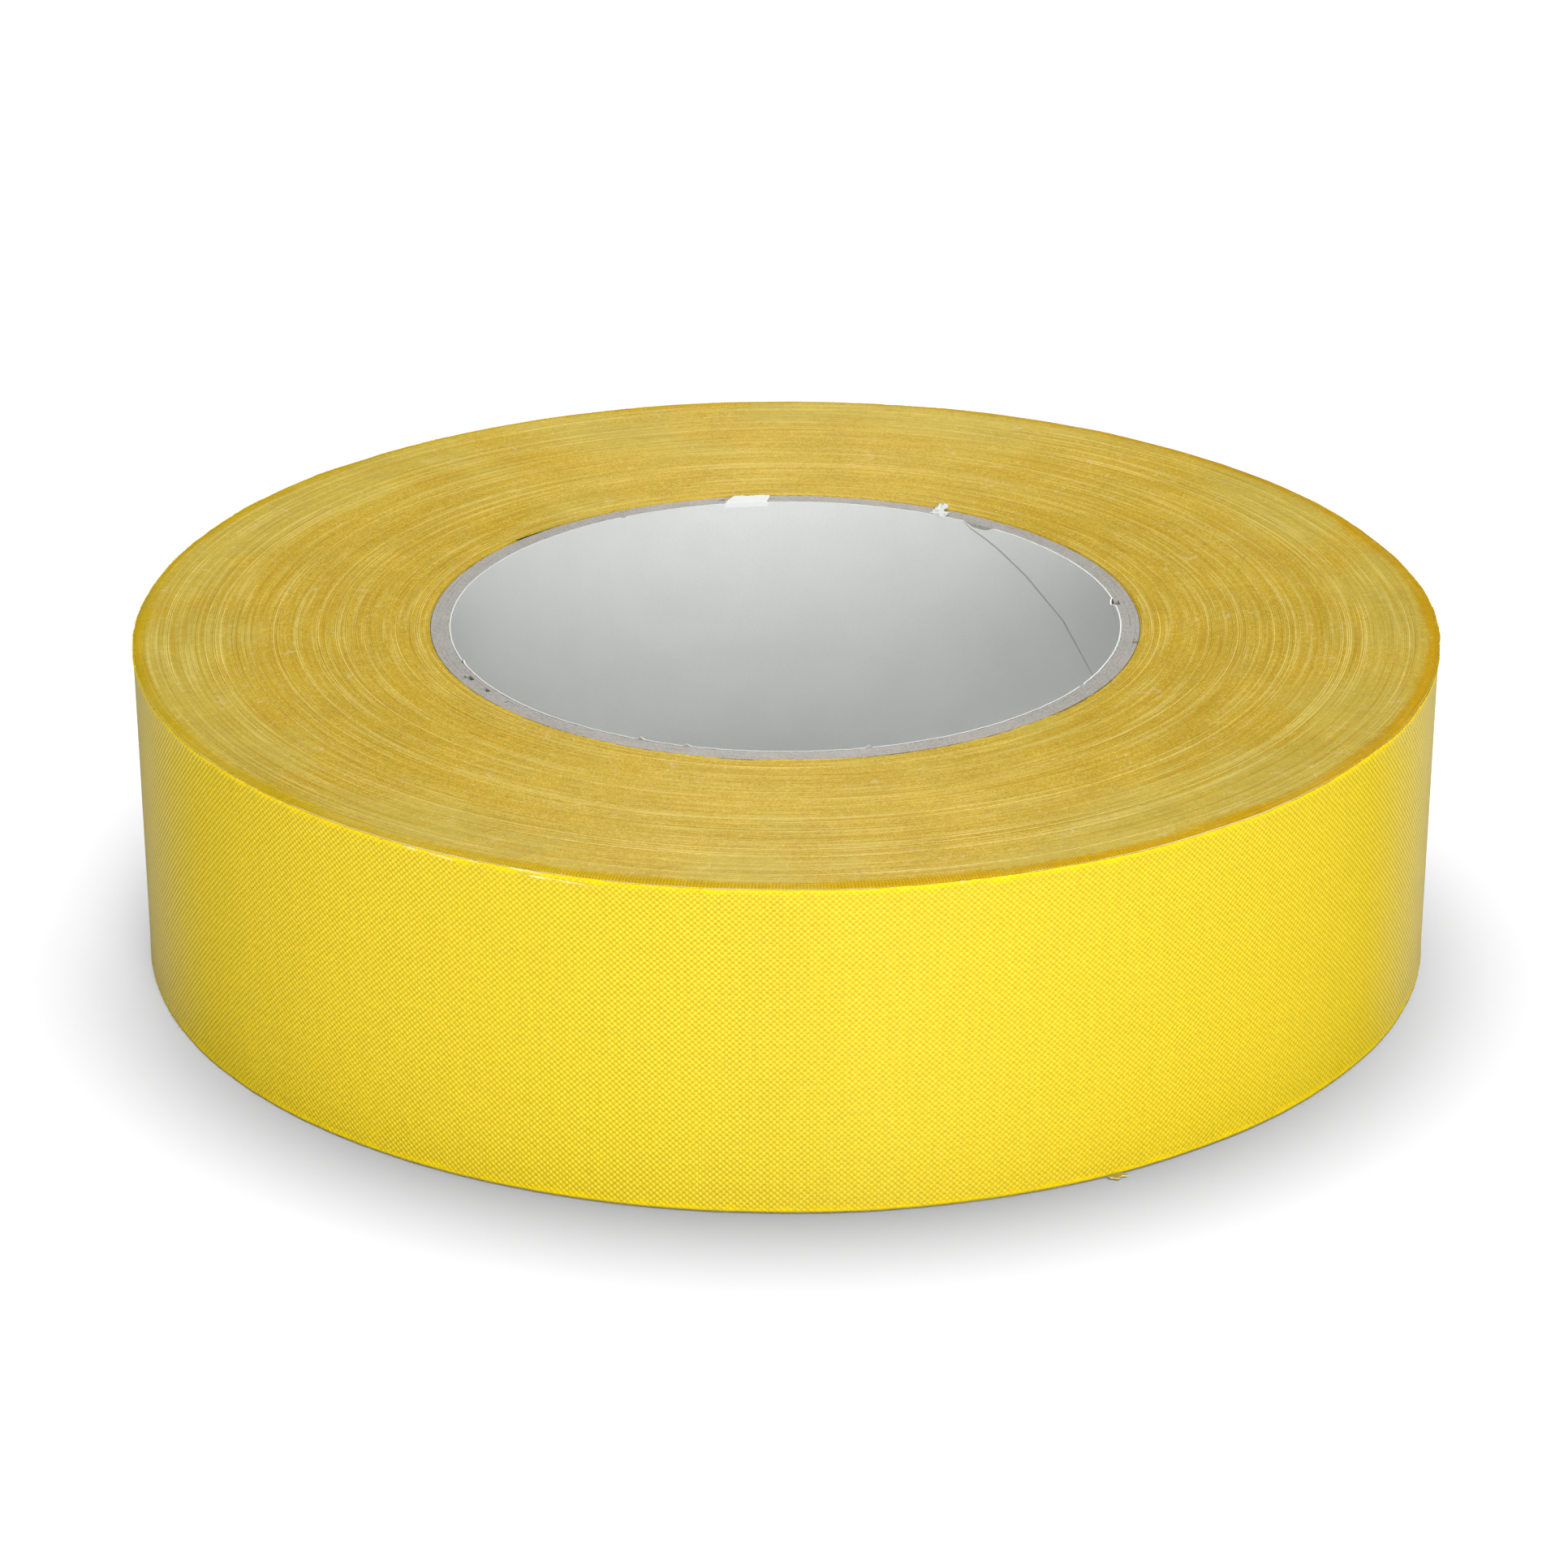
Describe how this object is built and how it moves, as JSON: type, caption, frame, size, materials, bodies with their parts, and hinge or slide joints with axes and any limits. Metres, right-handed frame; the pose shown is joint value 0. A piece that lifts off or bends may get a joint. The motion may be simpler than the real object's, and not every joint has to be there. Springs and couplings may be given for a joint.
{
  "type": "cloth tape roll",
  "caption": "Roll of woven cloth adhesive tape on a spiral-wound paperboard core, lying flat, with a free end that peels and curls.",
  "frame": {"origin": "on the roll's axis, in the plane of the side it lies on", "axes": "+Z along the roll's axis, up from the side it lies on; the tape winds outwards counter-clockwise seen from +Z"},
  "size_m": [0.1475, 0.1475, 0.038],
  "materials": {
    "white_liner_paper": "smooth white lining paper, slight sheen",
    "grey_chipboard": "raw recycled board, cut edge with ply lines",
    "yellow_cloth": "plain-woven cloth, matt",
    "cut_tape_edges": "edges of many turns of slit cloth tape, fine concentric lines and fuzz",
    "rubber_adhesive": "tacky rubber adhesive film"
  },
  "bodies": {
    "roll": {"core_liner": "white_liner_paper", "core_ply_1": "grey_chipboard", "core_ply_2": "grey_chipboard", "core_ply_3": "grey_chipboard", "core_ply_4": "grey_chipboard", "first_turn_adhesive": "rubber_adhesive", "first_turn_cloth": "yellow_cloth", "wound_turns": "cut_tape_edges", "outer_turn_adhesive": "rubber_adhesive", "outer_turn_cloth": "yellow_cloth"},
    "free_end_1": {"free_end_adhesive_1": "rubber_adhesive", "free_end_cloth_1": "yellow_cloth"},
    "free_end_2": {"free_end_adhesive_2": "rubber_adhesive", "free_end_cloth_2": "yellow_cloth"},
    "free_end_3": {"free_end_adhesive_3": "rubber_adhesive", "free_end_cloth_3": "yellow_cloth"}
  },
  "joints": [
    {"name": "peel_1", "type": "hinge", "parent": "roll", "child": "free_end_1", "pos_m": [0.04943, 0.05492, 0.019], "axis": [0, 0, -1], "range_deg": [0, 60]},
    {"name": "peel_2", "type": "hinge", "parent": "free_end_1", "child": "free_end_2", "pos_m": [0.04023, 0.06198, 0.019], "axis": [0, 0, -1], "range_deg": [0, 60]},
    {"name": "peel_3", "type": "hinge", "parent": "free_end_2", "child": "free_end_3", "pos_m": [0.03004, 0.06752, 0.019], "axis": [0, 0, -1], "range_deg": [0, 60]}
  ]
}
